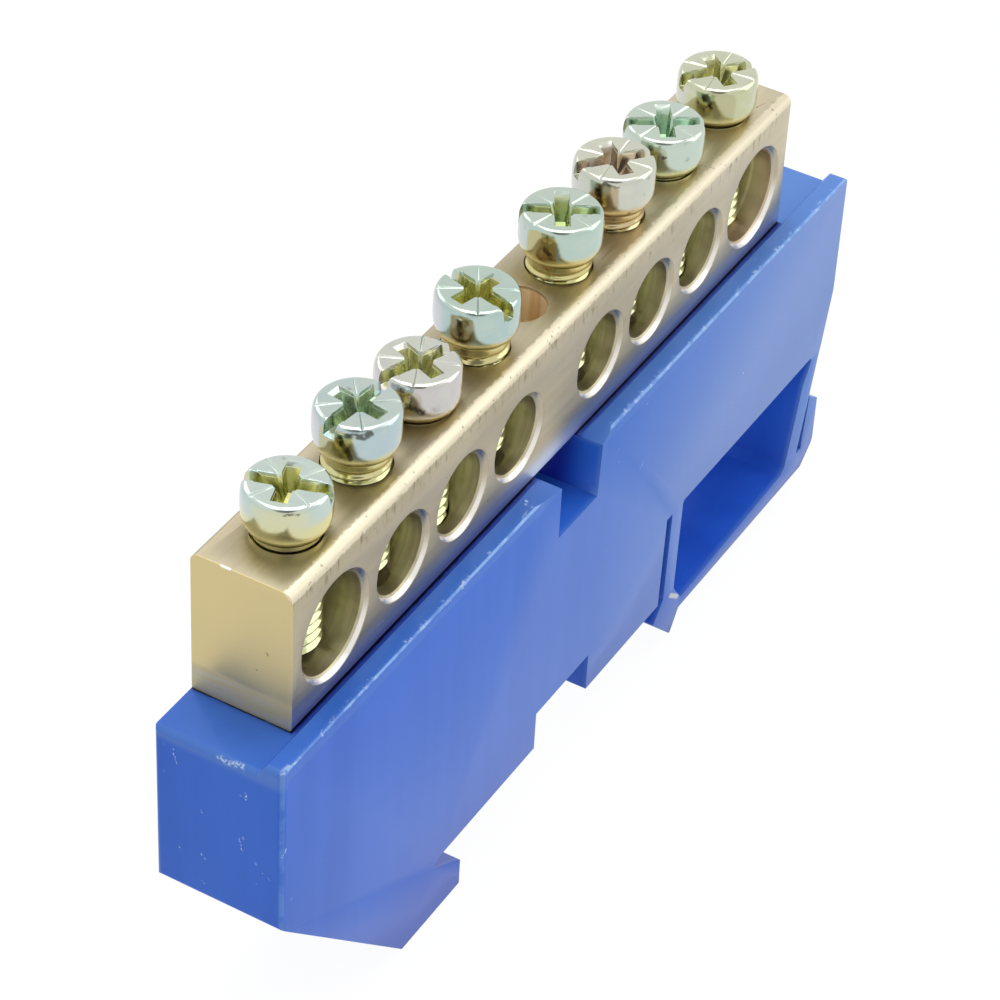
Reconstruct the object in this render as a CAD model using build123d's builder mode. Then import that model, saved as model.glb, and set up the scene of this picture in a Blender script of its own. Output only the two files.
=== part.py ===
from build123d import *
import math
import os

os.makedirs("parts", exist_ok=True)

# Conductor bar, millimetres
bar_near_margin = 5.4
bar_far_margin = 5.2
bar_width = 8.0
bar_height = 12.0
bar_edge_radius = 0.65
bar_foot_radius = 0.2

# Wire ports, counted from the near end of the bar
port_centre_gap = 11.8
port_pitch = 7.8
port_end_pitch = 8.6
port_height = 5.42
small_bore_radius = 3.05
large_bore_radius = 3.8
bore_chamfer = 0.45

# Clamping screws
thread_radius = 2.5
thread_clearance = 0.05
tap_floor = 1.8
head_radius = 3.1
head_height = 3.5
head_top_chamfer = 0.35
head_foot_chamfer = 0.5
slot_width = 1.0
slot_depth = 1.1
cross_span = 3.8
cross_width = 1.15
cross_depth = 2.3
cross_taper = 7.0
head_gaps = (0.6, 1.55, 0.15, 1.45, 1.35, 1.35, 0.3, 0.2)
slot_turns = (-71.7, -6.7, -21.1, 75.8, -59.5, -38.1, -55.5, -37.9)

# Fixing screw, up through the insulator into the middle of the bar
fixing_radius = 2.0
fixing_head_radius = 3.0
fixing_head_height = 2.6
fixing_slot_width = 1.1
fixing_slot_depth = 1.2
fixing_pocket_radius = 2.2
fixing_pocket_depth = 4.6
fixing_tip_gap = 1.95
fixing_hole_radius = 2.25

# Insulator block
front_overhang = 2.35
back_overhang = 0.0
near_overhang = 4.6
far_overhang = 7.7
near_face_height = 13.7
foot_angle = 45.0
block_edge_radius = 0.5
far_corner_radius = 0.25
end_wall_height = 10.4

# Lip along the front of the bar seat
lip_height = 0.9
lip_width = 1.4
lip_foot_gap = 0.35
lip_front_radius = 0.3
lip_back_radius = 0.12
notch_offset = -0.4
notch_width = 5.8
notch_depth = 4.7
notch_draft = 0.25
notch_near_ramp = 4.0
notch_far_ramp = 1.35

# Rail channel
rail_width = 35.0
rail_play = 0.1
rail_start = 16.1
rail_bed_depth = 24.6
hook_reach = 3.8
hook_mouth = 3.0
hook_thickness = 2.45
hook_lead = 0.3
pocket_depth = 0.35
pocket_drop = 0.5
pocket_lead = 0.75
relief_near_side = 4.9
relief_far_side = 3.1
relief_depth = 3.55

# Spring latch
window_top_depth = 15.65
slot_gap = 0.9
slot_web = 0.15
leg_draft = 0.25
leg_thickness = 1.75
catch_depth = 1.35
catch_drop = 1.6
nose_drop = 4.8
nose_land = 0.2
nose_run = 3.0
nose_back = 1.2
arm_drop = 3.0
arm_thickness = 0.95
arm_far_thickness = 1.65
spring_wall = 2.1
spring_wall_root = 1.25
root_length = 2.4
window_radius = 0.35
corner_web = 1.5
spring_lean = 3.7
tab_gap_top = 0.2
tab_gap_foot = 0.9
tab_thickness = 1.65
tab_foot_rise = 2.2
tab_rise = 5.2
tab_cant = 1.15
heel_chamfer = 1.9

# How far cutting profiles run past the faces they cut
cut_margin = 1.0

# Frame: middle of the footprint, standing on the foot
bar_length = bar_near_margin + port_centre_gap + 4 * port_pitch + 2 * port_end_pitch + bar_far_margin
base_length = near_overhang + bar_length + far_overhang
base_thickness = front_overhang + bar_width + back_overhang
bar_x = -base_length / 2 + near_overhang
base_front_y = -base_thickness / 2
bar_front_y = base_front_y + front_overhang
bar_middle_y = bar_front_y + bar_width / 2
foot_depth = rail_bed_depth + hook_mouth + hook_thickness
seat_z = foot_depth
bar_top_z = seat_z + bar_height

# Side view planes: x from the near end of the bar, y up from the bar seat, extruded backwards
SIDE = Plane(origin=(bar_x, base_front_y, seat_z), x_dir=(1, 0, 0), z_dir=(0, -1, 0))
BAR_FRONT = Plane(origin=(bar_x, bar_front_y, seat_z), x_dir=(1, 0, 0), z_dir=(0, -1, 0))
BAR_TOP = Plane(origin=(bar_x, bar_middle_y, bar_top_z))
END_VIEW = Plane(origin=(bar_x, bar_front_y, seat_z), x_dir=(0, 1, 0), z_dir=(1, 0, 0))

half_gap = port_centre_gap / 2
port_row_centre = bar_near_margin + port_end_pitch + 2 * port_pitch + half_gap
port_offsets = (half_gap, half_gap + port_pitch, half_gap + 2 * port_pitch,
                half_gap + 2 * port_pitch + port_end_pitch)
port_x = sorted([port_row_centre - d for d in port_offsets] + [port_row_centre + d for d in port_offsets])
large_ports = (port_x[0], port_x[-1])
small_ports = tuple(port_x[1:-1])
fixing_x = port_row_centre
far_x = bar_length + far_overhang
latch_face = rail_start + rail_width + rail_play
arm_depth = rail_bed_depth + arm_drop
tab_foot_depth = arm_depth - tab_foot_rise
screw_length = head_height + bar_height - tap_floor
fixing_length = rail_bed_depth - relief_depth + bar_height - fixing_pocket_depth - fixing_tip_gap


def block_points():
    # Block with the 45 degree foot, fixed hook, rail bed, relief and the slot behind the latch
    foot_run = (foot_depth - near_face_height) / math.tan(math.radians(foot_angle))
    bed = -rail_bed_depth
    mouth = bed - hook_mouth
    hook_tip_x = rail_start + hook_reach
    return (
        (-near_overhang, 0),
        (-near_overhang, -near_face_height),
        (-near_overhang + foot_run, -foot_depth),
        (hook_tip_x, -foot_depth),
        (hook_tip_x, mouth),
        (hook_tip_x - hook_lead, mouth + hook_lead),
        (rail_start - pocket_depth, bed - pocket_drop),
        (rail_start + pocket_lead, bed),
        (fixing_x - relief_near_side, bed),
        (fixing_x - relief_near_side, bed + relief_depth),
        (fixing_x + relief_far_side, bed + relief_depth),
        (fixing_x + relief_far_side, bed),
        (latch_face - slot_gap, bed),
        (latch_face - slot_gap + leg_draft, -window_top_depth - slot_web),
        (latch_face + leg_draft, -window_top_depth - slot_web),
        (latch_face + leg_draft, -window_top_depth),
        (far_x - spring_wall_root, -window_top_depth),
        (far_x, -end_wall_height),
        (far_x, 0),
    )


def spring_x(depth, thickness=0.0):
    # Leaning spring wall of the latch: its outer face, or its inner one at a thickness
    share = (depth - end_wall_height) / (tab_foot_depth - end_wall_height)
    return far_x - spring_lean * share - thickness


def latch_points():
    # One moulded loop: leg, catch and nose, arm, heel with the pull tab, leaning spring wall
    bed = -rail_bed_depth
    catch_x = latch_face - catch_depth
    catch_z = bed - catch_drop
    nose_x = catch_x + nose_run
    heel_x = spring_x(tab_foot_depth)
    tab_top = -tab_foot_depth + tab_rise
    tab_in = heel_x + tab_gap_foot
    tab_out = tab_in + tab_thickness + tab_cant / 2
    return (
        (latch_face + leg_draft, -window_top_depth),
        (latch_face, bed),
        (catch_x, catch_z),
        (catch_x, catch_z - nose_land),
        (nose_x, bed - nose_drop),
        (nose_x + nose_land, bed - nose_drop),
        (nose_x + nose_land + nose_back, -arm_depth),
        (tab_out - heel_chamfer, -arm_depth),
        (tab_out - heel_chamfer / 8, -arm_depth + heel_chamfer * 0.75),
        (tab_out, -arm_depth + heel_chamfer),
        (tab_out, tab_top - tab_cant),
        (spring_x(tab_foot_depth - tab_rise) + tab_gap_top, tab_top),
        (tab_in, -tab_foot_depth + tab_gap_foot),
        (tab_in, -tab_foot_depth),
        (heel_x, -tab_foot_depth),
        (far_x, -end_wall_height),
        (spring_x(window_top_depth, spring_wall_root), -window_top_depth),
    )


def window_points():
    # Opening inside the loop, which leaves the leg, the thin arm and the spring wall
    leg_x = latch_face + leg_thickness
    arm_top = -arm_depth + arm_thickness
    return (
        (leg_x + leg_draft, -window_top_depth),
        (leg_x, -rail_bed_depth),
        (leg_x + corner_web / 3, -rail_bed_depth - corner_web / 2),
        (leg_x + corner_web, arm_top),
        (spring_x(tab_foot_depth, spring_wall) - corner_web / 2, -arm_depth + arm_far_thickness),
        (spring_x(tab_foot_depth, spring_wall), -tab_foot_depth),
        (spring_x(window_top_depth + root_length, spring_wall), -window_top_depth - root_length),
        (spring_x(window_top_depth, spring_wall_root), -window_top_depth),
    )


def lip_points():
    # Section of the lip, seen from the near end: y from the front of the bar, z up from the seat
    return (
        (-front_overhang, -lip_height),
        (-front_overhang, lip_height),
        (-front_overhang + lip_width, lip_height),
        (-lip_foot_gap, 0),
        (-lip_foot_gap, -lip_height),
    )


def make_insulator():
    with BuildPart() as insulator:
        with BuildSketch(SIDE):
            with BuildLine():
                Polyline(*block_points(), close=True)
            make_face()
        extrude(amount=-base_thickness)
        with BuildSketch(SIDE):
            with BuildLine():
                Polyline(*latch_points(), close=True)
            make_face()
        extrude(amount=-base_thickness)
        with BuildSketch(SIDE) as window:
            with BuildLine():
                Polyline(*window_points(), close=True)
            make_face()
            fillet(window.vertices(), window_radius)
        extrude(amount=-base_thickness, mode=Mode.SUBTRACT)
        near_face = insulator.faces().filter_by(Axis.X).sort_by(Axis.X)[0]
        seat = insulator.faces().filter_by(Axis.Z).sort_by(Axis.Z)[-1]
        fillet(seat.edges().filter_by(Axis.Y) + near_face.edges().filter_by(Axis.Y).sort_by(Axis.Z)[:1],
               block_edge_radius)
        with BuildSketch(END_VIEW.offset(-near_overhang)) as lip:
            with BuildLine():
                Polyline(*lip_points(), close=True)
            make_face()
            front_corner, back_corner = lip.vertices().group_by(Axis.Y)[-1].sort_by(Axis.X)
            fillet(front_corner, lip_front_radius)
            fillet(back_corner, lip_back_radius)
        extrude(amount=base_length)
        # Round the ends of the lip in side view and the upright corners in plan
        with BuildSketch(SIDE) as outline:
            with BuildLine():
                Polyline((-near_overhang, -foot_depth), (-near_overhang, lip_height),
                         (far_x, lip_height), (far_x, -foot_depth), close=True)
            make_face()
            fillet(outline.vertices().group_by(Axis.Y)[-1], block_edge_radius)
        extrude(amount=-base_thickness, mode=Mode.INTERSECT)
        with BuildSketch(Plane.XY) as plan:
            Rectangle(base_length, base_thickness)
            near_corners, far_corners = plan.vertices().group_by(Axis.X)
            fillet(near_corners, block_edge_radius)
            fillet(far_corners, far_corner_radius)
        extrude(amount=seat_z + lip_height, mode=Mode.INTERSECT)
        # Notch under the middle of the bar, with the lip ramped down to it on both sides
        left = fixing_x + notch_offset - notch_width / 2
        right = left + notch_width
        with BuildSketch(SIDE):
            with BuildLine():
                Polyline((left - notch_near_ramp, lip_height), (left, 0), (left, -notch_depth),
                         (right, -notch_depth), (right + notch_draft, 0),
                         (right + notch_draft + notch_far_ramp, lip_height),
                         (right + notch_draft + notch_far_ramp, lip_height + cut_margin),
                         (left - notch_near_ramp, lip_height + cut_margin),
                         close=True)
            make_face()
        extrude(amount=-base_thickness, mode=Mode.SUBTRACT)
        # Clearance hole for the fixing screw, from the relief up to the notch
        with BuildSketch(Plane(origin=(bar_x + fixing_x, bar_middle_y, 0))):
            Circle(fixing_hole_radius)
        extrude(amount=seat_z, mode=Mode.SUBTRACT)
    insulator.part.label = "insulator"
    return insulator


def make_bar():
    with BuildPart() as bar:
        with BuildSketch(END_VIEW) as section:
            with Locations((bar_width / 2, bar_height / 2)):
                Rectangle(bar_width, bar_height)
            fillet(section.vertices().group_by(Axis.Y)[-1], bar_edge_radius)
            fillet(section.vertices().group_by(Axis.Y)[0], bar_foot_radius)
        extrude(amount=bar_length)
        with BuildSketch(BAR_FRONT):
            with Locations(*[(x, port_height) for x in large_ports]):
                Circle(large_bore_radius)
            with Locations(*[(x, port_height) for x in small_ports]):
                Circle(small_bore_radius)
        extrude(amount=-bar_width, mode=Mode.SUBTRACT)
        mouths = bar.edges().filter_by(GeomType.CIRCLE).group_by(Axis.Y)[0]
        chamfer(mouths, bore_chamfer)
        with BuildSketch(BAR_TOP):
            with Locations(*[(x, 0) for x in port_x]):
                Circle(thread_radius + thread_clearance)
        extrude(amount=-(bar_height - tap_floor), mode=Mode.SUBTRACT)
        with BuildSketch(BAR_TOP):
            with Locations((fixing_x, 0)):
                Circle(fixing_pocket_radius)
        extrude(amount=-fixing_pocket_depth, mode=Mode.SUBTRACT)
        with BuildSketch(BAR_TOP):
            with Locations((fixing_x, 0)):
                Circle(fixing_radius + thread_clearance)
        extrude(amount=-bar_height, mode=Mode.SUBTRACT)
    bar.part.label = "terminal_bar"
    return bar


def make_terminal_screw(number, x, gap, turn):
    # Cylinder head with a driver slot and a cross recess over a plain shank at thread size
    angle = math.radians(turn)
    top = Plane(origin=(bar_x + x, bar_middle_y, bar_top_z + gap + head_height),
                x_dir=(math.cos(angle), math.sin(angle), 0), z_dir=(0, 0, 1))
    with BuildPart() as screw:
        with BuildSketch(top):
            Circle(head_radius)
        extrude(amount=-head_height)
        chamfer(screw.faces().sort_by(Axis.Z)[-1].edges(), head_top_chamfer)
        chamfer(screw.faces().sort_by(Axis.Z)[0].edges(), head_foot_chamfer)
        with BuildSketch(top.offset(-head_height)):
            Circle(thread_radius)
        extrude(amount=-(screw_length - head_height))
        with BuildSketch(top):
            Rectangle(2 * (head_radius + cut_margin), slot_width)
        extrude(amount=-slot_depth, mode=Mode.SUBTRACT)
        with BuildSketch(top):
            Rectangle(cross_span, cross_width)
            Rectangle(cross_width, cross_span)
        extrude(amount=-cross_depth, taper=cross_taper, mode=Mode.SUBTRACT)
    screw.part.label = f"terminal_screw_{number}"
    return screw


def make_fixing_screw():
    # Cheese head in the relief, shank across the notch and into the thread of the bar
    seat = Plane(origin=(bar_x + fixing_x, bar_middle_y, seat_z - rail_bed_depth + relief_depth))
    with BuildPart() as screw:
        with BuildSketch(seat):
            Circle(fixing_head_radius)
        extrude(amount=-fixing_head_height)
        with BuildSketch(seat.offset(-fixing_head_height)):
            Rectangle(2 * (fixing_head_radius + cut_margin), fixing_slot_width)
        extrude(amount=fixing_slot_depth, mode=Mode.SUBTRACT)
        with BuildSketch(seat):
            Circle(fixing_radius)
        extrude(amount=fixing_length)
    screw.part.label = "fixing_screw"
    return screw


insulator = make_insulator()
export_step(insulator.part, "parts/insulator.step")

terminal_bar = make_bar()
export_step(terminal_bar.part, "parts/terminal_bar.step")

fixing_screw = make_fixing_screw()
export_step(fixing_screw.part, "parts/fixing_screw.step")

for number, (x, gap, turn) in enumerate(zip(port_x, head_gaps, slot_turns), 1):
    terminal_screw = make_terminal_screw(number, x, gap, turn)
    export_step(terminal_screw.part, f"parts/terminal_screw_{number}.step")
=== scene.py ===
import math

import bmesh
import bpy
from mathutils import Matrix, Vector


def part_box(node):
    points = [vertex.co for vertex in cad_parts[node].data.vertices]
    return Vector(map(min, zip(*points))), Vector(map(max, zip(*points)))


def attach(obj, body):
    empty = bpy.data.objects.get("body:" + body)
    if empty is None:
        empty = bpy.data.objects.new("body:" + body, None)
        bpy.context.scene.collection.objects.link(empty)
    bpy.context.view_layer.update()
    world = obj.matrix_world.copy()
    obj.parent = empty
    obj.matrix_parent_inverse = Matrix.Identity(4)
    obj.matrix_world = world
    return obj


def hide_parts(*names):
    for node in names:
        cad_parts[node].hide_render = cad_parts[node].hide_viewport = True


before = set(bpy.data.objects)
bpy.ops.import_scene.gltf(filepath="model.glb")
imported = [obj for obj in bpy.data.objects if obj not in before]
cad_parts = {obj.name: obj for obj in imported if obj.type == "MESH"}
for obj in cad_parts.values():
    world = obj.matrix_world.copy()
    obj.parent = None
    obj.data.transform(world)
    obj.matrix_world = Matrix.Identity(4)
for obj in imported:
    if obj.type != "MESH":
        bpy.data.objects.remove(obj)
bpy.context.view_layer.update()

MM = 0.001

# Camera, fitted to the photograph
camera_place = Vector((-186.13, -98.745, 197.53)) * MM
camera_right = Vector((0.5093, -0.8595, 0.0445))
camera_up = Vector((0.5316, 0.3548, 0.7691))
camera_lens = 131.255
camera_sensor = 36.0
camera_near = 0.01

# Screws: barrel shaped head, recess and thread, millimetres
head_radius = 3.12
head_height = 3.5
flat_radius = 2.6
crease_radius = 2.84
shoulder_radius = 2.98
foot_radius = 2.62
slot_width = 1.0
slot_depth = 1.1
arm_reach = 1.9
arm_width = 1.1
arm_depth = 2.3
arm_bevel = 0.28
bevel_gap = 0.03
diamond_reach = 1.45
diamond_depth = 1.7
mark_start = 0.9
mark_end = 2.9
mark_width = 0.36
mark_depth = 0.1
thread_major = 2.47
thread_minor = 2.08
thread_pitch = 0.8
neck_radius = 2.44
neck_length = 0.5
tip_chamfer = 0.45
ridge_top = 1.25
ridge_slope = 2.8

# Cutters: how far their walls close in for each millimetre of depth, and their top above the head
slot_lean = 0.05
arm_end_lean = 0.12
arm_side_lean = 0.08
bevel_side_lean = 0.1
diamond_lean = 0.25
diamond_widening = 0.35
cutter_top = 0.5

# Fineness of the screws' meshes
head_steps = 72
thread_steps = 48
thread_row = 0.08

# Fine bevels and smoothing, millimetres and degrees
block_bevel = 0.16
bar_bevel = 0.08
fixing_bevel = 0.06
head_bevel = 0.05
node_bevel_angle = 35
head_bevel_angle = 32
smooth_angle = 38
weld_distance = 0.0005

# Turn of each screw's driver slot, degrees
slot_turns = (-71.7, -6.7, -21.1, 75.8, -59.5, -38.1, -55.5, -37.9)

# Passivated film of each screw, linear: top face, side, recess, golden foot, mirrored column
films = (
    ((0.60, 0.68, 0.61), (0.50, 0.62, 0.61), (0.55, 0.56, 0.31), (0.72, 0.68, 0.34), (0.66, 0.65, 0.40)),
    ((0.54, 0.62, 0.57), (0.46, 0.57, 0.60), (0.50, 0.58, 0.46), (0.66, 0.62, 0.32), (0.50, 0.50, 0.28)),
    ((0.62, 0.64, 0.56), (0.58, 0.56, 0.55), (0.60, 0.61, 0.42), (0.62, 0.54, 0.30), (0.50, 0.48, 0.40)),
    ((0.52, 0.62, 0.54), (0.44, 0.57, 0.55), (0.56, 0.56, 0.30), (0.64, 0.57, 0.28), (0.44, 0.39, 0.22)),
    ((0.54, 0.62, 0.54), (0.48, 0.60, 0.54), (0.46, 0.54, 0.34), (0.66, 0.60, 0.28), (0.50, 0.44, 0.20)),
    ((0.64, 0.65, 0.54), (0.58, 0.60, 0.52), (0.56, 0.50, 0.44), (0.62, 0.50, 0.28), (0.46, 0.35, 0.22)),
    ((0.57, 0.65, 0.57), (0.54, 0.64, 0.55), (0.44, 0.59, 0.47), (0.62, 0.61, 0.34), (0.42, 0.47, 0.32)),
    ((0.62, 0.64, 0.50), (0.56, 0.59, 0.38), (0.59, 0.60, 0.38), (0.64, 0.58, 0.30), (0.48, 0.47, 0.28)),
)
grazed_film = (0.62, 0.61, 0.65)
thread_film = (0.60, 0.64, 0.36)
stain_colour = (0.10, 0.09, 0.06)
# Painted dark reflections on the sides of the heads
dark_reflection_colour = (0.07, 0.07, 0.06)

# Paler film where a side is seen at a slant, and height of the golden foot, screw by screw
grazed_shares = (0.2, 0.8, 0.4, 0.8, 0.4, 0.4, 0.2, 0.5)
foot_rises = (2.3, 1.2, 0.9, 1.1, 1.3, 1.2, 1.0, 0.9)

# Mirrored column of each head: azimuth of its middle and half its width in degrees, softness of its sides
columns = (
    (204, 30, 0.8), (182, 24, 0.12), (203, 14, 0.15), (189, 17, 0.12),
    (181, 23, 0.12), (195, 20, 0.12), (199, 14, 0.15), (206, 28, 0.12),
)

# Painted dark reflections on the sides of the heads: azimuth and height of both ends, reach
dark_reflections = (
    ((209, -0.30, 227, -0.33, 0.15),),
    ((200, -0.50, 229, -0.45, 0.34), (190, -1.0, 204, -2.4, 0.38)),
    ((199, -1.6, 216, -2.1, 0.34),),
    ((197, -0.26, 219, -0.26, 0.10), (186, -0.8, 189, -2.2, 0.22)),
    ((186, -1.5, 196, -2.2, 0.34),),
    ((193, -0.45, 214, -0.55, 0.24), (187, -0.9, 192, -2.4, 0.30)),
    ((207, -1.2, 210, -1.25, 0.20),),
    ((189, -0.6, 200, -1.4, 0.30),),
)

# Chips and hair scratches on the block: start, end and width, millimetres in the frame
block_marks = (
    ((-41.5, -1.9, 29.85), (-41.5, -0.1, 29.9), 0.32),
    ((-40.3, -5.1, 30.9), (-39.9, -5.15, 30.85), 0.22),
    ((-41.3, -5.1, 23.6), (-41.3, -5.1, 23.1), 0.16),
    ((-18.9, -5.1, 30.9), (-17.8, -5.1, 30.9), 0.26),
    ((-20.6, -5.15, 30.8), (-20.3, -5.15, 30.8), 0.16),
    ((-8.6, -4.4, 30.9), (-8.2, -4.3, 30.9), 0.2),
    ((-41.55, 3.6, 29.2), (-41.55, 3.2, 27.6), 0.09),
    ((-41.55, -2.1, 27.7), (-41.55, -2.2, 27.4), 0.16),
    ((-41.55, -1.7, 23.3), (-41.55, -2.05, 21.7), 0.08),
    ((-41.55, -3.6, 21.1), (-41.55, -4.1, 20.7), 0.09),
    ((-41.55, 1.5, 20.3), (-41.55, 1.0, 19.8), 0.10),
    ((-41.55, 1.25, 24.2), (-41.55, 1.2, 24.1), 0.14),
    ((-41.55, 3.0, 19.9), (-41.55, 2.95, 19.85), 0.12),
    ((-41.55, 1.3, 17.6), (-41.55, 1.25, 17.5), 0.10),
    ((3.6, -5.15, 27.8), (4.3, -5.15, 28.6), 0.07),
    ((4.07, -5.15, 26.25), (4.31, -5.15, 26.75), 0.07),
    ((7.89, -5.15, 23.3), (8.16, -5.15, 23.65), 0.08),
    ((4.44, -5.15, 22.9), (4.72, -5.15, 23.15), 0.09),
    ((7.94, -5.15, 29.45), (8.21, -5.15, 29.75), 0.10),
    ((24.65, -5.15, 22.0), (25.3, -5.15, 21.2), 0.08),
)

# Painted highlight at the foot of the latch, the same way
latch_foot_glint = ((15.5, -5.15, 5.0), (16.9, -5.15, 3.9), 0.30)

# Drags and small dents on the bar, the same way
bar_marks = (
    ((30.9, -1.25, 42.05), (31.6, -1.55, 42.05), 0.16),
    ((32.15, -1.55, 42.05), (32.1, -2.2, 42.05), 0.14),
    ((31.4, -2.45, 42.05), (32.1, -2.75, 42.0), 0.12),
    ((21.4, -1.5, 42.05), (21.7, -2.4, 42.05), 0.15),
    ((-35.6, 2.2, 42.05), (-35.3, 2.0, 42.05), 0.11),
    ((0.3, -0.6, 42.05), (1.0, -0.5, 42.05), 0.07),
    ((-27.15, -2.8, 41.4), (-26.9, -2.8, 40.8), 0.17),
    ((-28.6, -2.8, 41.5), (-27.8, -2.8, 40.3), 0.18),
    ((-35.0, -2.8, 41.6), (-34.5, -2.8, 40.7), 0.15),
    ((4.75, -2.8, 41.4), (5.2, -2.8, 40.2), 0.09),
    ((-3.8, -2.8, 41.7), (-2.85, -2.8, 40.5), 0.17),
    ((-11.5, -2.8, 41.6), (-11.3, -2.8, 40.6), 0.12),
    ((-13.6, -2.8, 41.9), (-13.3, -2.8, 39.9), 0.08),
    ((-36.9, -1.3, 41.2), (-36.9, -1.4, 41.0), 0.12),
    ((-36.9, -0.8, 36.15), (-36.9, -1.0, 35.95), 0.13),
    ((-36.9, 0.0, 34.25), (-36.9, -0.25, 34.15), 0.14),
)

# Span of the noise that carries a base colour from one tone to the other
tone_range = 0.36, 0.64

# Fine relief of each material: height in millimetres, strength
blue_relief = 0.05, 0.5
brass_relief = 0.012, 0.6
zinc_relief = 0.02, 0.8

# Moulding: gloss, and linear colours
blue_roughness = 0.3
blue_ior = 1.36
blue_specular = 0.4
blue_deep, blue_light = (0.020, 0.125, 0.625), (0.028, 0.146, 0.68)
# Painted sheen, a paler blue laid where light falls on the moulding
blue_sheen = (0.115, 0.255, 0.65)
blue_shaded = (0.012, 0.024, 0.38)
# Painted shade under the front's edges, and painted highlight along them
blue_edge_shade = (0.006, 0.016, 0.14)
blue_edge_highlight = (0.25, 0.46, 0.89)
# Painted shade beside the bar, and the bar's painted contact shadow
blue_bar_shade = (0.009, 0.028, 0.30)
contact_shadow_colour = (0.003, 0.003, 0.010)
scuff_colour = (0.50, 0.66, 0.92)
# Painted highlight at the foot of the latch
glint_colour = (0.62, 0.64, 0.68)

# Moulding, places in millimetres
shade_height = 12.0
notch_half_width = 4.0
loop_start = 15.5
loop_below_seat = 15.0

# Bar, linear colours
near_brass = (0.43, 0.375, 0.255), (0.50, 0.44, 0.31)
far_brass = (0.575, 0.51, 0.355), (0.66, 0.59, 0.43)
brass_grit = (0.40, 0.35, 0.26)
# Painted reflection of the blue moulding, low on the bar's front
brass_blue_reflection = (0.57, 0.67, 0.88)
# Port rims: painted shade above, painted highlight below
rim_shade_above, rim_highlight_below = (0.46, 0.41, 0.31), (0.84, 0.81, 0.76)
mouth_line = (0.22, 0.17, 0.11)
end_brass = (0.67, 0.56, 0.29)
end_band = (0.62, 0.59, 0.47)
# Wear and painted highlight along the front edge
worn_brass_highlight = (0.82, 0.75, 0.58)
bore_brass = (0.47, 0.42, 0.28), (0.58, 0.52, 0.36)
bore_blotch = (0.36, 0.31, 0.19)
bore_warm = (0.62, 0.49, 0.36)
bore_turned = (0.70, 0.65, 0.52)
bore_ring = (0.85, 0.78, 0.64)
# Painted reflection of brass in the middle hole
hole_brass_reflection = (0.82, 0.64, 0.42), (0.95, 0.84, 0.64)
soil_colour = (0.17, 0.13, 0.09)
pale_speck_colour = (0.95, 0.98, 1.0)
nick_colour = (1.0, 0.97, 0.88)

# Bar, places in millimetres
rim_depth = 0.27
bore_depth = 0.36
blue_reflection_height = 2.6
band_height = 2.3
last_port = 10.5
ring_depth = 2.1
hole_radius = 2.28

# Studio, metres
floor_half = 3.0
floor_pale, floor_paler = (0.86, 0.86, 0.86), (0.88, 0.88, 0.88)
floor_glow = 1.04
floor_seen, floor_mirrored = 0.92, 0.74
aim_point = Vector((0, 0, 0.03))
sky_strength, sky_mirrored_more = 0.66, 0.3
photographer_reach = 0.90, 0.97
photographer_shade = 0.75

# Softboxes: name, direction, distance, size, radiance
softboxes = (
    ("key", (0.12, 0.05, 1.0), 0.7, (0.55, 0.55), 2.0),
    ("front", (0.62, -0.72, 0.50), 0.8, (0.6, 0.8), 0.95),
    ("back", (0.3, 0.9, 0.7), 0.9, (0.5, 0.4), 1.0),
)

bar_low, bar_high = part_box("terminal_bar")
block_low, block_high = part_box("insulator")
screw_names = [f"terminal_screw_{i}" for i in range(1, 9)]
fixing_low, fixing_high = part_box("fixing_screw")
fixing_x = (fixing_low.x + fixing_high.x) / 2 / MM


# Small helpers for node trees

def add(tree, kind, inputs=None, **settings):
    made = tree.nodes.new("ShaderNode" + kind)
    for key, value in settings.items():
        setattr(made, key, value)
    for key, value in (inputs or {}).items():
        if isinstance(value, bpy.types.NodeSocket):
            tree.links.new(value, made.inputs[key])
        else:
            made.inputs[key].default_value = value
    return made


def math_node(tree, operation, a, b=0.0, clamp=False):
    return add(tree, "Math", {0: a, 1: b}, operation=operation, use_clamp=clamp).outputs[0]


def chain(tree, operation, values):
    result = values[0]
    for value in values[1:]:
        result = math_node(tree, operation, result, value)
    return result


def times(tree, *values):
    return chain(tree, "MULTIPLY", values)


def plus(tree, *values):
    return chain(tree, "ADD", values)


def minus(tree, a, b):
    return math_node(tree, "SUBTRACT", a, b)


def largest(tree, *values):
    return chain(tree, "MAXIMUM", values)


def smallest(tree, *values):
    return chain(tree, "MINIMUM", values)


def off(tree, value, middle):
    return math_node(tree, "ABSOLUTE", minus(tree, value, middle))


def vector_node(tree, operation, a, b=(0.0, 0.0, 0.0), output="Vector"):
    return add(tree, "VectorMath", {0: a, 1: b}, operation=operation).outputs[output]


def scaled(tree, vector, factor):
    return add(tree, "VectorMath", {0: vector, "Scale": factor}, operation="SCALE").outputs[0]


def split(tree, vector):
    return add(tree, "SeparateXYZ", {0: vector}).outputs[:3]


def mix_colour(tree, share, a, b):
    made = add(tree, "Mix", data_type="RGBA")
    for index, value in ((0, share), (6, a), (7, b)):
        if isinstance(value, bpy.types.NodeSocket):
            tree.links.new(value, made.inputs[index])
        elif isinstance(value, tuple):
            made.inputs[index].default_value = (*value, 1.0)
        else:
            made.inputs[index].default_value = value
    return made.outputs[2]


def lay(tree, base, colour, mask, share=1.0):
    # Colour over a base, where the mask is 1
    if share < 1.0:
        mask = times(tree, mask, share)
    return mix_colour(tree, mask, base, colour)


def mix_value(tree, share, a, b):
    return add(tree, "Mix", {0: share, 2: a, 3: b}, data_type="FLOAT").outputs[0]


def ramp(tree, value, low, high, to_low=0.0, to_high=1.0):
    inputs = {"Value": value, "From Min": low, "From Max": high, "To Min": to_low, "To Max": to_high}
    return add(tree, "MapRange", inputs, clamp=True, interpolation_type="SMOOTHSTEP").outputs[0]


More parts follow.
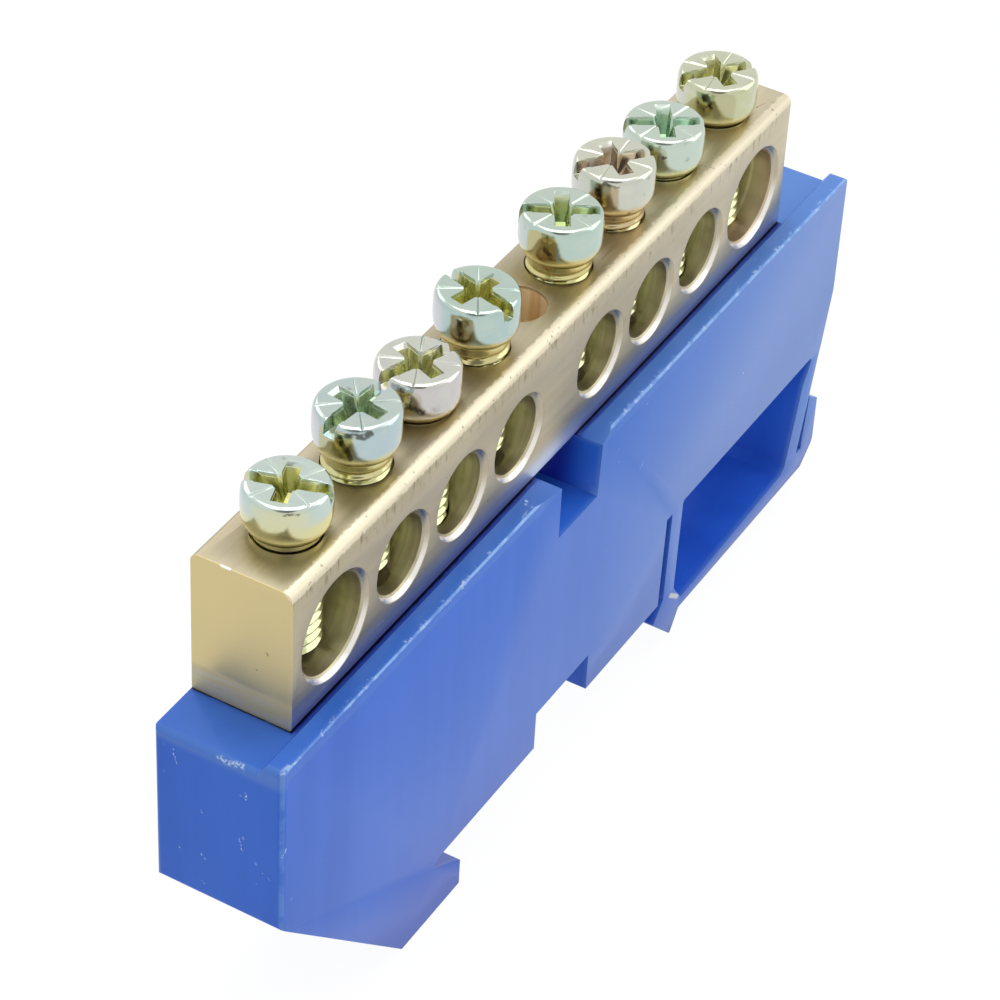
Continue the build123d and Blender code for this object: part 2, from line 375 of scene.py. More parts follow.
def between(tree, value, start, full, end, gone):
    # 1 from full to end, fading to 0 at start and at gone
    return times(tree, ramp(tree, value, start, full), ramp(tree, value, gone, end))


def place(tree, scale=(1.0, 1.0, 1.0), shift=(0.0, 0.0, 0.0)):
    # Object coordinates in millimetres, stretched and shifted
    coordinates = add(tree, "TexCoord").outputs["Object"]
    factors = tuple(s / MM for s in scale)
    return add(tree, "Mapping", {"Vector": coordinates, "Scale": factors, "Location": shift}).outputs[0]


def noise(tree, vector, scale, detail=3.0, roughness=0.5, distortion=0.0):
    inputs = {"Vector": vector, "Scale": scale, "Detail": detail, "Roughness": roughness,
              "Distortion": distortion}
    return add(tree, "TexNoise", inputs).outputs[0]


def noise_vector(tree, vector, scale, detail):
    return add(tree, "TexNoise", {"Vector": vector, "Scale": scale, "Detail": detail}).outputs["Color"]


def specks(tree, vector, scale, size, share_low, share_high):
    # Ragged spots of uneven size, kept only in some patches
    warp = noise_vector(tree, vector, scale * 2.3, 3.0)
    ragged = vector_node(tree, "MULTIPLY", warp, (0.35 / scale,) * 3)
    ragged = vector_node(tree, "ADD", vector, ragged)
    cell = add(tree, "TexVoronoi", {"Vector": ragged, "Scale": scale, "Randomness": 1.0})
    chance = split(tree, cell.outputs["Color"])[0]
    reach = times(tree, math_node(tree, "POWER", chance, 2.0), size * 1.7)
    spot = ramp(tree, cell.outputs["Distance"], 0.0, reach, 1.0, 0.0)
    patch = ramp(tree, noise(tree, vector, scale * 0.23, detail=1.0), share_low, share_high)
    return times(tree, spot, patch)


def stroke(tree, point, start, end, width):
    # Mark along a short line, by the distance from it
    start, end = Vector(start), Vector(end)
    run = end - start
    offset = vector_node(tree, "SUBTRACT", point, tuple(start))
    share = vector_node(tree, "DOT_PRODUCT", offset, tuple(run / run.length_squared), output="Value")
    share = largest(tree, smallest(tree, share, 1.0), 0.0)
    nearest = scaled(tree, tuple(run), share)
    away = vector_node(tree, "DISTANCE", offset, nearest, output="Value")
    return ramp(tree, away, width * 0.35, width, 1.0, 0.0)


def strokes(tree, spot, marks, waviness, solid=0.0):
    # All marks of a list, bent a little and more or less ragged
    bend = vector_node(tree, "SUBTRACT", noise_vector(tree, spot, 1.1, 4.0), (0.5, 0.5, 0.5))
    bent = vector_node(tree, "ADD", spot, scaled(tree, bend, waviness))
    found = largest(tree, 0.0, *(stroke(tree, bent, start, end, width) for start, end, width in marks))
    rag = noise(tree, spot, 5.0 - 3.0 * solid, detail=4.0)
    return times(tree, found, ramp(tree, rag, 0.42 - 0.12 * solid, 0.58 - 0.12 * solid))


def facing(tree, direction):
    # How far a surface faces a direction of the frame
    normal = add(tree, "NewGeometry").outputs["Normal"]
    return vector_node(tree, "DOT_PRODUCT", normal, tuple(Vector(direction).normalized()), output="Value")


def new_material(name):
    material = bpy.data.materials.new(name)
    material.use_nodes = True
    tree = material.node_tree
    return material, tree, tree.nodes["Principled BSDF"]


def bump(tree, shader, height, distance_mm, strength):
    made = add(tree, "Bump", {"Height": height, "Distance": distance_mm * MM, "Strength": strength})
    tree.links.new(made.outputs[0], shader.inputs["Normal"])


# Blue moulding

def painted_sheen_mask(tree, x, y, z, low, high, seat):
    # Painted sheen: paler towards the far end of the front and of the seat, and on the top faces; a painted
    # highlight on the rounded near edge
    front_and_seat_sheen = largest(tree, ramp(tree, y, low.y + 0.5, low.y + 0.05), ramp(tree, z, seat - 0.5, seat - 0.05))
    front_and_seat_sheen = times(tree, front_and_seat_sheen, ramp(tree, x, low.x + 4.0, high.x, 0.0, 0.8))
    upper = times(tree, ramp(tree, z, seat - 0.4, seat - 0.05), ramp(tree, x, low.x, high.x, 0.22, 0.9))
    rounded = times(tree, ramp(tree, x, low.x + 0.8, low.x + 0.2), ramp(tree, z, seat - 1.1, seat - 0.3), 0.6)
    return largest(tree, front_and_seat_sheen, upper, rounded)


def shade_mask(tree, x, y, z, low, high, seat):
    # Deeper blue low on the front, on the far wall of the notch and inside the latch loop
    painted_low_front = ramp(tree, z, low.z + shade_height, low.z, 0.0, 0.32)
    in_notch = ramp(tree, off(tree, x, fixing_x), notch_half_width + 1.0, notch_half_width)
    far_wall = times(tree, facing(tree, (-1, 0, 0)), ramp(tree, y, low.y + 1.0, low.y + 4.0), in_notch)
    loop_top = seat - loop_below_seat
    in_loop = times(tree, ramp(tree, x, loop_start, loop_start + 1.0), ramp(tree, z, loop_top, loop_top - 0.6))
    in_loop = times(tree, in_loop, ramp(tree, facing(tree, (-1, 0, 1)), 0.45, 0.6),
                    ramp(tree, y, low.y + 2.0, high.y, 0.0, 0.75))
    return math_node(tree, "MAXIMUM", painted_low_front, largest(tree, far_wall, in_loop), clamp=True)


def paint_edge_light_and_shade(tree, base, spot, x, low):
    # Edges of the front: a painted highlight line above and beside, a painted shade line where they face down
    edge_line = between(tree, facing(tree, (0, -1, 0)), 0.35, 0.55, 0.90, 0.97)
    broken = times(tree, edge_line, ramp(tree, noise(tree, spot, 0.9), 0.35, 0.6, 0.4, 1.0))
    downward = ramp(tree, facing(tree, (0, 0, 1)), -0.12, -0.28)
    base = lay(tree, base, blue_edge_shade, times(tree, edge_line, downward))
    past_corner = ramp(tree, x, low.x + 0.6, low.x + 0.7, 0.35, 1.0)
    return lay(tree, base, blue_edge_highlight, times(tree, broken, minus(tree, 1.0, downward), past_corner))


def shade_seat_by_bar(tree, base, spot, x, y, z, seat):
    # Painted shade on the seat beside the bar, and a thin uneven line of painted contact shadow where the bar
    # stands on it
    near_x, far_x, front_y = bar_low.x / MM, bar_high.x / MM, bar_low.y / MM
    uneven = times(tree, noise(tree, spot, 1.5), 0.2)
    off_end = plus(tree, minus(tree, near_x, x), uneven)
    off_front = plus(tree, minus(tree, front_y, y), uneven)
    beside_bar = ramp(tree, x, far_x, far_x + 0.1, 1.0, 0.0)
    bar_shade = times(tree, ramp(tree, off_front, 0.25, 0.85, 0.95, 0.0), beside_bar)
    bar_shade = times(tree, bar_shade, ramp(tree, z, seat - 0.1, seat - 0.04), ramp(tree, x, near_x - 0.6, near_x + 0.5))
    contact_shadow = times(tree, ramp(tree, largest(tree, off_end, off_front), 0.17, 0.28, 1.0, 0.0), beside_bar)
    contact_shadow = times(tree, contact_shadow, ramp(tree, off(tree, z, seat), 0.04, 0.1, 1.0, 0.0))
    return lay(tree, lay(tree, base, blue_bar_shade, bar_shade), contact_shadow_colour, contact_shadow, 0.97)


def scuffs(tree, spot, y, z, low, high):
    # Listed marks, dust, and the rubbed moulding edge along the front of the lip
    marks = strokes(tree, spot, block_marks, 1.1)
    dust = specks(tree, spot, 0.8, 0.10, 0.56, 0.64)
    lip_edge = times(tree, ramp(tree, z, high.z - 0.35, high.z - 0.15), ramp(tree, y, low.y + 0.5, low.y + 0.2))
    nicks = times(tree, lip_edge, ramp(tree, noise(tree, spot, 1.7, detail=5.0, roughness=0.7), 0.54, 0.64))
    return largest(tree, marks, times(tree, dust, 0.45), times(tree, nicks, 0.7))


def blue_plastic():
    material, tree, shader = new_material("blue_plastic")
    spot = place(tree)
    x, y, z = split(tree, spot)
    low, high = block_low / MM, block_high / MM
    seat = bar_low.z / MM
    flow = noise(tree, place(tree, (0.32, 0.3, 0.02)), 1.0)
    cloud = noise(tree, spot, 0.08, detail=2.0)
    tone = plus(tree, times(tree, flow, 0.6), times(tree, cloud, 0.4))
    colour = mix_colour(tree, ramp(tree, tone, *tone_range), blue_deep, blue_light)
    # Painted sheen and highlight
    colour = lay(tree, colour, blue_sheen, painted_sheen_mask(tree, x, y, z, low, high, seat))
    colour = lay(tree, colour, blue_shaded, shade_mask(tree, x, y, z, low, high, seat))
    # Painted highlight and shade along the front's edges
    colour = paint_edge_light_and_shade(tree, colour, spot, x, low)
    # Painted shade and contact shadow of the bar on the seat
    colour = shade_seat_by_bar(tree, colour, spot, x, y, z, seat)
    colour = lay(tree, colour, scuff_colour, scuffs(tree, spot, y, z, low, high))
    # Painted highlight at the foot of the latch
    colour = lay(tree, colour, glint_colour, stroke(tree, spot, *latch_foot_glint), 0.9)
    tree.links.new(colour, shader.inputs["Base Color"])
    shader.inputs["Roughness"].default_value = blue_roughness
    shader.inputs["IOR"].default_value = blue_ior
    shader.inputs["Specular IOR Level"].default_value = blue_specular
    wave = noise(tree, place(tree, (0.35, 0.4, 0.06)), 1.0, detail=1.0)
    grain = noise(tree, spot, 0.7)
    bump(tree, shader, plus(tree, times(tree, wave, 0.8), times(tree, grain, 0.012)), *blue_relief)
    return material


# Brass bar

def bore_colour(tree, spot, x, y, z, low, high):
    # Walls of the ports: blotches, turning marks low down, and one brighter ring in the warmer last port
    streak = noise(tree, place(tree, (0.12, 2.2, 0.12)), 1.2, detail=5.0, roughness=0.6)
    colour = mix_colour(tree, ramp(tree, streak, 0.35, 0.65), *bore_brass)
    colour = lay(tree, colour, bore_blotch, ramp(tree, noise(tree, spot, 0.5), 0.45, 0.65, 0.0, 0.6))
    warm = ramp(tree, x, high.x - last_port, high.x - last_port + 1.5)
    colour = lay(tree, colour, bore_warm, warm, 0.7)
    turning = noise(tree, place(tree, (0.1, 1.0, 0.1)), 3.0, roughness=0.7)
    turning = times(tree, ramp(tree, turning, 0.55, 0.72), ramp(tree, z, low.z + 4.6, low.z + 2.0, 0.05, 0.45))
    colour = lay(tree, colour, bore_turned, turning)
    ring = ramp(tree, off(tree, y, low.y + ring_depth), 0.05, 0.2, 0.7, 0.0)
    return lay(tree, colour, bore_ring, times(tree, ring, warm))


def soil_mask(tree, spot, y, z, low, high, end_face, worn_lit_band, hole):
    # Pits, short drags under the front edge, fine pits in its worn band with the painted highlight, and the
    # listed marks
    pits = specks(tree, place(tree, (0.8, 1.0, 0.8)), 0.9, 0.14, 0.46, 0.58)
    pits = times(tree, pits, minus(tree, 1.0, end_face), 0.6)
    smear = noise(tree, place(tree, (1.6, 1.6, 0.30)), 1.3, detail=5.0, roughness=0.75)
    under_edge = between(tree, z, high.z - 2.4, high.z - 1.1, high.z - 0.75, high.z - 0.6)
    drags = times(tree, under_edge, ramp(tree, y, low.y + 0.2, low.y + 0.05), ramp(tree, smear, 0.53, 0.63), 0.6)
    fine_pits = times(tree, worn_lit_band, specks(tree, spot, 2.6, 0.24, 0.36, 0.5), 0.75)
    marks = times(tree, strokes(tree, spot, bar_marks, 0.7), 0.6)
    return times(tree, largest(tree, pits, drags, fine_pits, marks), minus(tree, 1.0, hole))


def pale_brass():
    material, tree, shader = new_material("pale_brass")
    spot = place(tree)
    x, y, z = split(tree, spot)
    low, high = bar_low / MM, bar_high / MM
    # Depth below the bar's outer box: the walls of bores and holes lie deeper than its faces
    depth = smallest(tree, minus(tree, y, low.y), minus(tree, high.y, y), minus(tree, high.z, z),
                     minus(tree, x, low.x), minus(tree, high.x, x), minus(tree, z, low.z))
    inside = ramp(tree, depth, rim_depth, bore_depth)

    # Faces: paler towards the far end, with a painted bluish reflection of the moulding low on the front
    drawn = noise(tree, place(tree, (0.05, 1.6, 1.6)), 1.3, detail=6.0, roughness=0.65)
    tone = plus(tree, times(tree, drawn, 0.35), times(tree, noise(tree, spot, 0.12), 0.65))
    near, far = (mix_colour(tree, ramp(tree, tone, *tone_range), *pair) for pair in (near_brass, far_brass))
    outer = mix_colour(tree, ramp(tree, x, 0.0, high.x - 8.0), near, far)
    grit = noise(tree, spot, 3.5, detail=5.0, roughness=0.8)
    outer = lay(tree, outer, brass_grit, ramp(tree, grit, 0.55, 0.75, 0.0, 0.35))
    painted_low_front = times(tree, ramp(tree, z, low.z + blue_reflection_height, low.z + 0.2),
                      ramp(tree, y, low.y + 0.3, low.y + 0.1))
    outer = lay(tree, outer, brass_blue_reflection, painted_low_front, 0.9)

    # Rims of the ports, with a painted highlight growing towards their lower part and a dark line round their
    # mouths
    upright = between(tree, z, low.z + 0.25, low.z + 0.3, high.z - 0.75, high.z - 0.65)
    rim = times(tree, between(tree, y, low.y + 0.02, low.y + 0.06, low.y + rim_depth, low.y + 0.34), upright)
    outer = lay(tree, outer, mix_colour(tree, ramp(tree, z, low.z + 5.4, low.z + 3.0), rim_shade_above, rim_highlight_below), rim)
    mouth = between(tree, facing(tree, (0, -1, 0)), 0.76, 0.84, 0.97, 0.995)
    outer = lay(tree, outer, mouth_line, times(tree, mouth, upright, ramp(tree, depth, 0.2, 0.1)), 0.7)

    # Yellower end face with a brushed band at its foot
    end_face = ramp(tree, x, low.x + 0.03, low.x + 0.10, 1.0, 0.0)
    outer = lay(tree, outer, end_brass, end_face, 0.95)
    brushed = noise(tree, place(tree, (1.0, 0.07, 1.4)), 2.4, detail=5.0, roughness=0.7)
    edge = plus(tree, z, times(tree, noise(tree, place(tree, (0.2, 0.9, 0.2)), 1.0, detail=4.0), 0.7))
    band = times(tree, end_face, ramp(tree, edge, low.z + band_height, low.z + band_height + 0.7, 1.0, 0.0))
    outer = lay(tree, outer, end_band, times(tree, band, ramp(tree, brushed, 0.32, 0.62)))

    # Cream band along the rounded front edge: wear and a painted highlight
    frayed = plus(tree, minus(tree, high.z, z), minus(tree, y, low.y),
                  times(tree, noise(tree, spot, 2.2, detail=5.0), 0.7))
    worn_lit_band = times(tree, ramp(tree, frayed, 0.95, 1.2, 1.0, 0.0), ramp(tree, depth, 0.3, 0.5, 1.0, 0.0))
    outer = lay(tree, outer, worn_brass_highlight, worn_lit_band, 0.8)
    colour = mix_colour(tree, inside, outer, bore_colour(tree, spot, x, y, z, low, high))

    # Plain hole in the middle: orange wall with upright bands, a painted reflection of brass in its own bore
    across = vector_node(tree, "SUBTRACT", spot, (fixing_x, (low.y + high.y) / 2, 0.0))
    across = vector_node(tree, "MULTIPLY", across, (1.0, 1.0, 0.0))
    off_axis = vector_node(tree, "LENGTH", across, output="Value")
    hole = times(tree, ramp(tree, off_axis, hole_radius, hole_radius + 0.08, 1.0, 0.0),
                 ramp(tree, z, high.z - 0.12, high.z - 0.3))
    bands = noise(tree, place(tree, (1.4, 1.4, 0.06)), 1.0)
    colour = lay(tree, colour, mix_colour(tree, ramp(tree, bands, 0.4, 0.6), *hole_brass_reflection), hole)

    # Soil, pale specks low on the front, and a nick in the end's upper edge
    soil = soil_mask(tree, spot, y, z, low, high, end_face, worn_lit_band, hole)
    colour = lay(tree, colour, soil_colour, soil)
    dust = times(tree, specks(tree, spot, 1.5, 0.2, 0.42, 0.55), painted_low_front)
    colour = lay(tree, colour, pale_speck_colour, dust, 0.8)
    nick = stroke(tree, spot, (low.x, 2.7, high.z), (low.x, 2.1, high.z), 0.17)
    colour = lay(tree, colour, nick_colour, nick)
    tree.links.new(colour, shader.inputs["Base Color"])
    # Less metallic where the moulding's reflection is painted
    tree.links.new(minus(tree, 1.0, times(tree, painted_low_front, 0.25)), shader.inputs["Metallic"])

    # Gloss and fine relief
    fine = noise(tree, place(tree, (0.08, 2.5, 2.5)), 2.5, detail=6.0, roughness=0.7)
    rough = ramp(tree, fine, 0.3, 0.7, 0.35, 0.44)
    rough = mix_value(tree, times(tree, rim, 0.85), rough, 0.24)
    rough = mix_value(tree, inside, rough, 0.42)
    rough = mix_value(tree, end_face, rough, ramp(tree, band, 0.0, 1.0, 0.48, 0.72))
    rough = plus(tree, rough, times(tree, soil, 0.25))
    rough = math_node(tree, "ADD", rough, times(tree, largest(tree, worn_lit_band, hole), 0.10), clamp=True)
    tree.links.new(rough, shader.inputs["Roughness"])
    height = plus(tree, times(tree, fine, 0.45), times(tree, noise(tree, spot, 1.2), 0.9))
    bump(tree, shader, height, *brass_relief)
    return material


# Zinc film of the screws

def on_side(azimuth, height, turn):
    # Point on the side of a head that is turned about its axis, in its own millimetres
    angle = math.radians(azimuth - turn)
    return (head_radius * math.cos(angle), head_radius * math.sin(angle), height)


def side_film(tree, index, z, mottle, patch):
    # Golden foot, a column that mirrors the next screw, and a paler film where it is seen at a slant
    top, side, _, gold, mirrored = films[index]
    azimuth, half_width, softness = columns[index]
    azimuth, half_width = math.radians(azimuth), math.radians(half_width)
    column = facing(tree, (math.cos(azimuth), math.sin(azimuth), 0.0))
    column = plus(tree, column, times(tree, minus(tree, patch, 0.5), 0.06))
    column = ramp(tree, column, math.cos(half_width * (1.0 + softness)), math.cos(half_width * (1.0 - softness)),
                  0.0, 0.85)
    reach = 0.2 * foot_rises[index]
    rise = -head_height + foot_rises[index]
    foot = ramp(tree, plus(tree, z, times(tree, mottle, 0.9)), rise + 0.25 + reach, rise - reach)
    grazed = ramp(tree, facing(tree, (-0.62, 0.78, 0.0)), 0.80, 0.93, 0.0, grazed_shares[index])
    colour = mix_colour(tree, ramp(tree, mottle, 0.45, 0.7, 0.0, 0.6), side, top)
    colour = lay(tree, colour, grazed_film, grazed)
    colour = lay(tree, colour, gold, foot)
    colour = lay(tree, colour, mirrored, column)
    return lay(tree, colour, thread_film, ramp(tree, z, -head_height - 1.0, -head_height - 2.5))


def recess_film(tree, index, z, mottle):
    # Walls of slot and cross, nearer to the top's film along their upper edges
    top, _, recess, gold, _ = films[index]
    colour = mix_colour(tree, ramp(tree, mottle, 0.46, 0.70, 0.0, 0.5), recess, gold)
    return lay(tree, colour, top, ramp(tree, z, -0.12, -0.42, 0.6, 0.0))


def zinc_film(name, index, seed, turn=0.0, with_dark_reflections=True):
    # Local coordinates: z is 0 at the top of the head, the axis runs through x = y = 0
    top, side = films[index][:2]
    material, tree, shader = new_material(name)
    spot = place(tree, shift=(seed * 7.3, seed * 3.1, 0.0))
    local = place(tree)
    x, y, z = split(tree, local)
    radius = vector_node(tree, "LENGTH", add(tree, "CombineXYZ", {0: x, 1: y}).outputs[0], output="Value")
    mottle = noise(tree, spot, 0.6, detail=4.0, distortion=0.5)
    patch = noise(tree, spot, 0.3, detail=2.0)
    top_colour = mix_colour(tree, ramp(tree, mottle, 0.4, 0.7, 0.0, 0.5), top, side)
    colour = lay(tree, side_film(tree, index, z, mottle, patch), top_colour, ramp(tree, z, -0.2, -0.08))
    in_recess = times(tree, ramp(tree, z, -0.08, -0.3), ramp(tree, radius, head_radius - 0.3, head_radius - 0.5),
                      ramp(tree, z, -head_height + 0.3, -head_height + 0.6))
    colour = lay(tree, colour, recess_film(tree, index, z, mottle), in_recess)
    stain = times(tree, specks(tree, spot, 0.7, 0.2, 0.48, 0.6),
                  ramp(tree, noise(tree, spot, 3.0), 0.42, 0.55, 0.2, 0.75))
    colour = lay(tree, colour, stain_colour, stain)
    if with_dark_reflections:
        # Painted dark reflections on the side of the head
        lines = [(on_side(a, za, turn), on_side(b, zb, turn), reach) for a, za, b, zb, reach in dark_reflections[index]]
        colour = lay(tree, colour, dark_reflection_colour, strokes(tree, local, lines, 0.7, solid=1.0), 0.85)
    tree.links.new(colour, shader.inputs["Base Color"])
    shader.inputs["Metallic"].default_value = 1.0
    rough = ramp(tree, noise(tree, spot, 1.6, detail=4.0), 0.3, 0.7, 0.10, 0.20)
    tree.links.new(rough, shader.inputs["Roughness"])
    bump(tree, shader, noise(tree, spot, 0.8, detail=4.0), *zinc_relief)
    return material


def pale_floor():
    material, tree, shader = new_material("pale_floor")
    # Its glow is only for what looks at it or mirrors it, so no light is sampled from it
    material.cycles.emission_sampling = "NONE"
    grain = noise(tree, place(tree), 0.02)
    base = mix_colour(tree, ramp(tree, grain, 0.3, 0.7), floor_pale, floor_paler)
    tree.links.new(base, shader.inputs["Base Color"])
    shader.inputs["Roughness"].default_value = 0.6
    path = add(tree, "LightPath")
    seen = times(tree, path.outputs["Is Camera Ray"], floor_seen)
    mirrored = times(tree, path.outputs["Is Glossy Ray"], floor_mirrored)
    glow = add(tree, "Emission", {"Color": (1.0, 1.0, 1.0, 1.0), "Strength": floor_glow})
    both = add(tree, "MixShader", {0: largest(tree, seen, mirrored), 1: shader.outputs[0], 2: glow.outputs[0]})
    tree.links.new(both.outputs[0], tree.nodes["Material Output"].inputs["Surface"])
    return material


# Mesh helpers

def mesh_object(name, mesh):
    made = bpy.data.objects.new(name, mesh)
    bpy.context.scene.collection.objects.link(made)
    return made


def finished_mesh(name, shape):
    bmesh.ops.recalc_face_normals(shape, faces=shape.faces)
    mesh = bpy.data.meshes.new(name)
    shape.to_mesh(mesh)
    shape.free()
    return mesh


def ring_of(shape, radii, height):
    # Vertices round z at one height, evenly spaced
    ring = []
    for i, radius in enumerate(radii):
        angle = 2 * math.pi * i / len(radii)
        ring.append(shape.verts.new(Vector((radius * math.cos(angle), radius * math.sin(angle), height)) * MM))
    return ring


def prism(top_points, bottom_points):
    # Closed solid between two outlines with as many points each, millimetres
    shape = bmesh.new()
    upper = [shape.verts.new(Vector(p) * MM) for p in top_points]
    lower = [shape.verts.new(Vector(p) * MM) for p in bottom_points]
    shape.faces.new(upper)
    shape.faces.new(lower[::-1])
    count = len(upper)
    for i in range(count):
        shape.faces.new((upper[i], lower[i], lower[(i + 1) % count], upper[(i + 1) % count]))
    return mesh_object("prism", finished_mesh("prism", shape))


def tapered_bar(half_length, half_width, end_lean, side_lean, bottom):
    # Cutter: a rectangle above the head that closes in towards the bottom
    drop = cutter_top - bottom
    upper, lower = [], []
    for sx, sy in ((1, 1), (-1, 1), (-1, -1), (1, -1)):
        upper.append((sx * half_length, sy * half_width, cutter_top))
        lower.append((sx * (half_length - drop * end_lean), sy * (half_width - drop * side_lean), bottom))
    return prism(upper, lower)


def turned(profile):
    # Closed body turned about z from an outline that starts and ends on the axis
    shape = bmesh.new()
    rings = []
    for radius, height in profile:
        if radius == 0:
            rings.append([shape.verts.new((0, 0, height * MM))])
        else:
            rings.append(ring_of(shape, [radius] * head_steps, height))
    for a, b in zip(rings, rings[1:]):
        for i in range(head_steps):
            j = (i + 1) % head_steps
            if len(a) == 1:
                shape.faces.new((a[0], b[i], b[j]))
            elif len(b) == 1:
                shape.faces.new((a[i], b[0], a[j]))
            else:
                shape.faces.new((a[i], b[i], b[j], a[j]))
    return mesh_object("turned", finished_mesh("turned", shape))


def turned_by(piece, degrees):
    piece.matrix_world = Matrix.Rotation(math.radians(degrees), 4, "Z")
    return piece


def add_bevel(piece, width_mm, segments, degrees):
    edge = piece.modifiers.new("edge", "BEVEL")
    edge.width = width_mm * MM
    edge.segments = segments
    edge.limit_method = "ANGLE"
    edge.angle_limit = math.radians(degrees)
    return edge


def carve(body, cutters):
    # Mesh of the body without the cutters, its edges finely bevelled
    for cutter in cutters:
        step = body.modifiers.new("cut", "BOOLEAN")
        step.operation = "DIFFERENCE"
        step.solver = "EXACT"
        step.object = cutter
    add_bevel(body, head_bevel, 2, head_bevel_angle)
    bpy.context.view_layer.update()
    graph = bpy.context.evaluated_depsgraph_get()
    mesh = bpy.data.meshes.new_from_object(body.evaluated_get(graph), depsgraph=graph)
    for used in [body, *cutters]:
        bpy.data.objects.remove(used)
    return mesh


def head_mesh():
    # Barrel with a rolled rim, cut by the slot, the bevelled cross, the diamond and four thin marks
    foot = -head_height
    body = turned([
        (0.0, 0.0), (1.2, 0.0), (flat_radius - 0.15, 0.0), (flat_radius, -0.005), (flat_radius + 0.13, -0.026),
        (crease_radius, -0.066), (crease_radius + 0.07, -0.13), (shoulder_radius, -0.235), (3.04, -0.4),
        (3.085, -0.62), (3.11, -0.95), (head_radius, -1.35), (head_radius, -2.1), (3.1, -2.4), (3.05, -2.7),
        (2.96, -2.95), (2.85, -3.18), (2.74, -3.36), (foot_radius, foot), (neck_radius, foot), (0.0, foot),
    ])
    cutters = [tapered_bar(head_radius + cutter_top, slot_width / 2 + cutter_top * slot_lean, 0.0, slot_lean,
                           -slot_depth)]
    for turn in (0, 90):
        arm = tapered_bar(arm_reach + cutter_top * arm_end_lean, arm_width / 2 + cutter_top * arm_side_lean,
                          arm_end_lean, arm_side_lean, -arm_depth)
        bevel = tapered_bar(arm_reach + arm_bevel + cutter_top,
                            arm_width / 2 + bevel_gap + cutter_top * bevel_side_lean,
                            1.0, bevel_side_lean, -arm_bevel)
        cutters += [turned_by(arm, turn), turned_by(bevel, turn)]
    side = (diamond_reach + cutter_top * diamond_widening) / math.sqrt(2)
    cutters.append(turned_by(tapered_bar(side, side, diamond_lean, diamond_lean, -diamond_depth), 45))
    slim, wide = mark_width * 0.28, mark_width * 0.55
    near = [(mark_start, slim, 0.02), (mark_start, -slim, 0.02), (mark_start, 0.0, -mark_depth * 0.6)]
    far = [(mark_end, wide, 0.02), (mark_end, -wide, 0.02), (mark_end, 0.0, -mark_depth * 1.6)]
    for turn in (45, 135, 225, 315):
        cutters.append(turned_by(prism(near, far), turn))
    return carve(body, cutters)


def thread_radius_at(height, angle, tip):
    # Sharp thread with narrow flats, run out under the head and chamfered at the tip
    turn = (height / thread_pitch - angle / (2 * math.pi)) % 1.0
    ridge = min(1.0, max(0.0, ridge_top - abs(turn - 0.5) * ridge_slope))
    radius = thread_minor + (thread_major - thread_minor) * ridge
    fade = min(1.0, max(0.0, (-head_height - neck_length - height) / thread_pitch))
    radius = neck_radius + (radius - neck_radius) * fade
    return min(radius, thread_major - tip_chamfer + (height - tip))


def shank_mesh(length):
    # Threaded shank from the foot of the head to the tip, in local millimetres
    tip = -length
    top = -head_height
    rows = int((top - tip) / thread_row)
    shape = bmesh.new()
    rings = []
    for row in range(rows + 1):
        height = tip + (top - tip) * row / rows
        radii = [thread_radius_at(height, 2 * math.pi * i / thread_steps, tip) for i in range(thread_steps)]
        rings.append(ring_of(shape, radii, height))
    for a, b in zip(rings, rings[1:]):
        for i in range(thread_steps):
            j = (i + 1) % thread_steps
            shape.faces.new((a[i], a[j], b[j], b[i]))
    shape.faces.new(rings[0][::-1])
    shape.faces.new(rings[-1])
    return finished_mesh("shank", shape)


def joined_mesh(name, meshes):
    shape = bmesh.new()
    for mesh in meshes:
        shape.from_mesh(mesh)
    mesh = bpy.data.meshes.new(name)
    shape.to_mesh(mesh)
    shape.free()
    for face in mesh.polygons:
        face.use_smooth = True
    mesh.set_sharp_from_angle(angle=math.radians(smooth_angle))
    return mesh


# Pieces

def dress(name, material, bevel_mm):
    # The frame's own piece with a material and softened edges
    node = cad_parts[name]
    node.data.materials.clear()
    node.data.materials.append(material)
    weld = node.modifiers.new("weld", "WELD")
    weld.merge_threshold = weld_distance * MM
    add_bevel(node, bevel_mm, 3, node_bevel_angle).harden_normals = True
    for face in node.data.polygons:
        face.use_smooth = True


def clamp_screws():
    low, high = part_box(screw_names[0])
    meshes = [head_mesh(), shank_mesh((high.z - low.z) / MM)]
    for index, name in enumerate(screw_names):
        low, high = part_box(name)
        piece = mesh_object(f"clamp_screw_{index + 1}", joined_mesh(f"clamp_screw_{index + 1}", meshes))
        piece.data.materials.append(zinc_film(f"zinc_{index + 1}", index, index + 1.0, slot_turns[index]))
        turn = Matrix.Rotation(math.radians(slot_turns[index]), 4, "Z")
        piece.matrix_world = Matrix.Translation(((low.x + high.x) / 2, (low.y + high.y) / 2, high.z)) @ turn
        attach(piece, f"clamp_{index + 1}")
        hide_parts(name)


# Studio

def floor():
    mesh = bpy.data.meshes.new("floor")
    corners = [(x * floor_half, y * floor_half, 0) for x, y in ((-1, -1), (1, -1), (1, 1), (-1, 1))]
    mesh.from_pydata(corners, [], [(0, 1, 2, 3)])
    made = mesh_object("floor", mesh)
    made.data.materials.append(pale_floor())


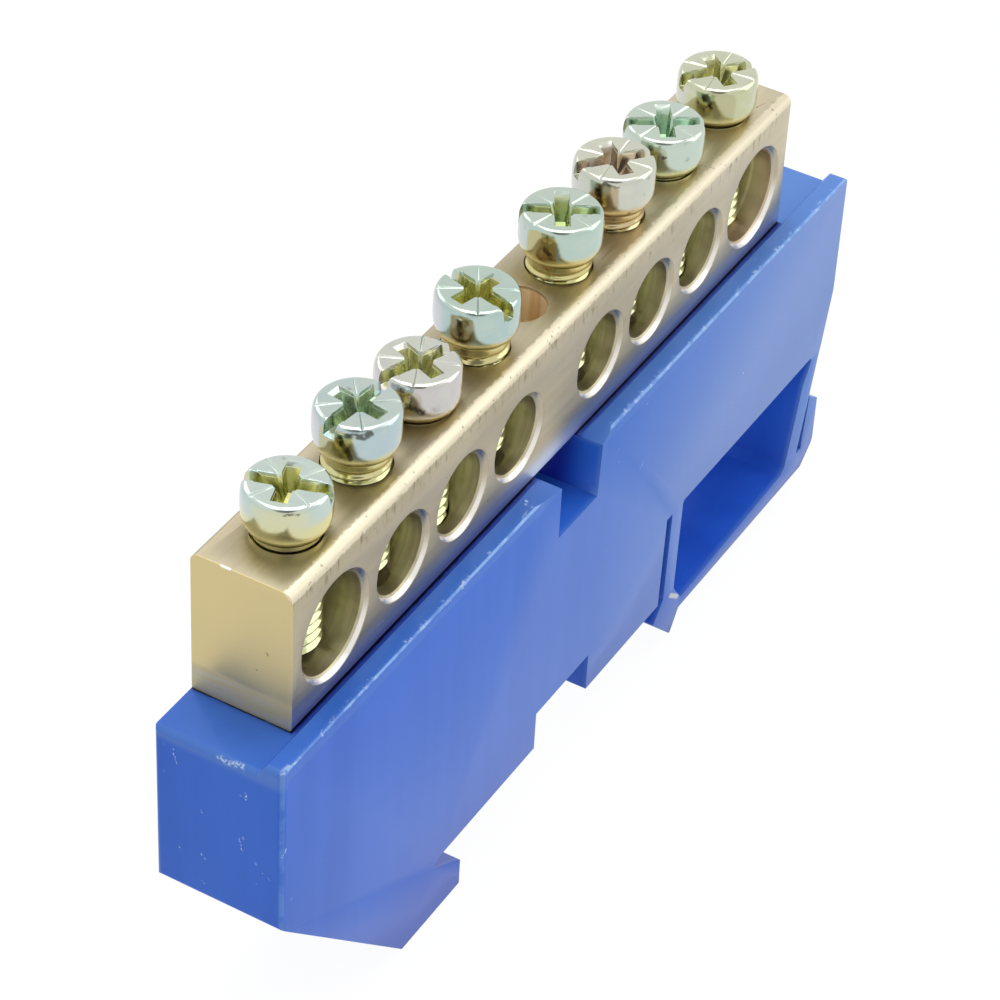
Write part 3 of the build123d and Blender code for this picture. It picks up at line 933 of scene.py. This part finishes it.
def softbox(name, direction, distance, size, radiance):
    data = bpy.data.lights.new(name, "AREA")
    data.shape = "RECTANGLE"
    data.size, data.size_y = size
    data.energy = radiance * math.pi * size[0] * size[1]
    lamp = bpy.data.objects.new(name, data)
    bpy.context.scene.collection.objects.link(lamp)
    lamp.location = aim_point + Vector(direction).normalized() * distance
    lamp.rotation_euler = (aim_point - lamp.location).to_track_quat("-Z", "Y").to_euler()


def sky():
    # Plain sky, white to the camera, with the photographer as a dark patch where the camera is
    world = bpy.data.worlds.new("studio")
    bpy.context.scene.world = world
    world.use_nodes = True
    tree = world.node_tree
    tree.nodes.clear()
    path = add(tree, "LightPath")
    outward = add(tree, "TexCoord").outputs["Generated"]
    near_camera = vector_node(tree, "DOT_PRODUCT", outward, tuple(camera_place.normalized()), output="Value")
    dark = ramp(tree, near_camera, *photographer_reach, 0.0, photographer_shade)
    strength = plus(tree, times(tree, path.outputs["Is Glossy Ray"], sky_mirrored_more), sky_strength)
    strength = times(tree, strength, minus(tree, 1.0, dark))
    strength = largest(tree, strength, path.outputs["Is Camera Ray"])
    back = add(tree, "Background", {"Color": (1.0, 1.0, 1.0, 1.0), "Strength": strength})
    out = tree.nodes.new("ShaderNodeOutputWorld")
    tree.links.new(back.outputs[0], out.inputs[0])


def camera():
    data = bpy.data.cameras.new("camera")
    data.sensor_width = camera_sensor
    data.lens = camera_lens
    data.clip_start = camera_near
    made = bpy.data.objects.new("camera", data)
    bpy.context.scene.collection.objects.link(made)
    axes = Matrix((camera_right, camera_up, camera_right.cross(camera_up))).transposed().to_4x4()
    made.matrix_world = Matrix.Translation(camera_place) @ axes.normalized()
    bpy.context.scene.camera = made


dress("insulator", blue_plastic(), block_bevel)
dress("terminal_bar", pale_brass(), bar_bevel)
dress("fixing_screw", zinc_film("fixing_screw_zinc", 3, 9.0, with_dark_reflections=False), fixing_bevel)
clamp_screws()
floor()
for box in softboxes:
    softbox(*box)
sky()
camera()
bpy.context.scene.view_settings.view_transform = "Standard"
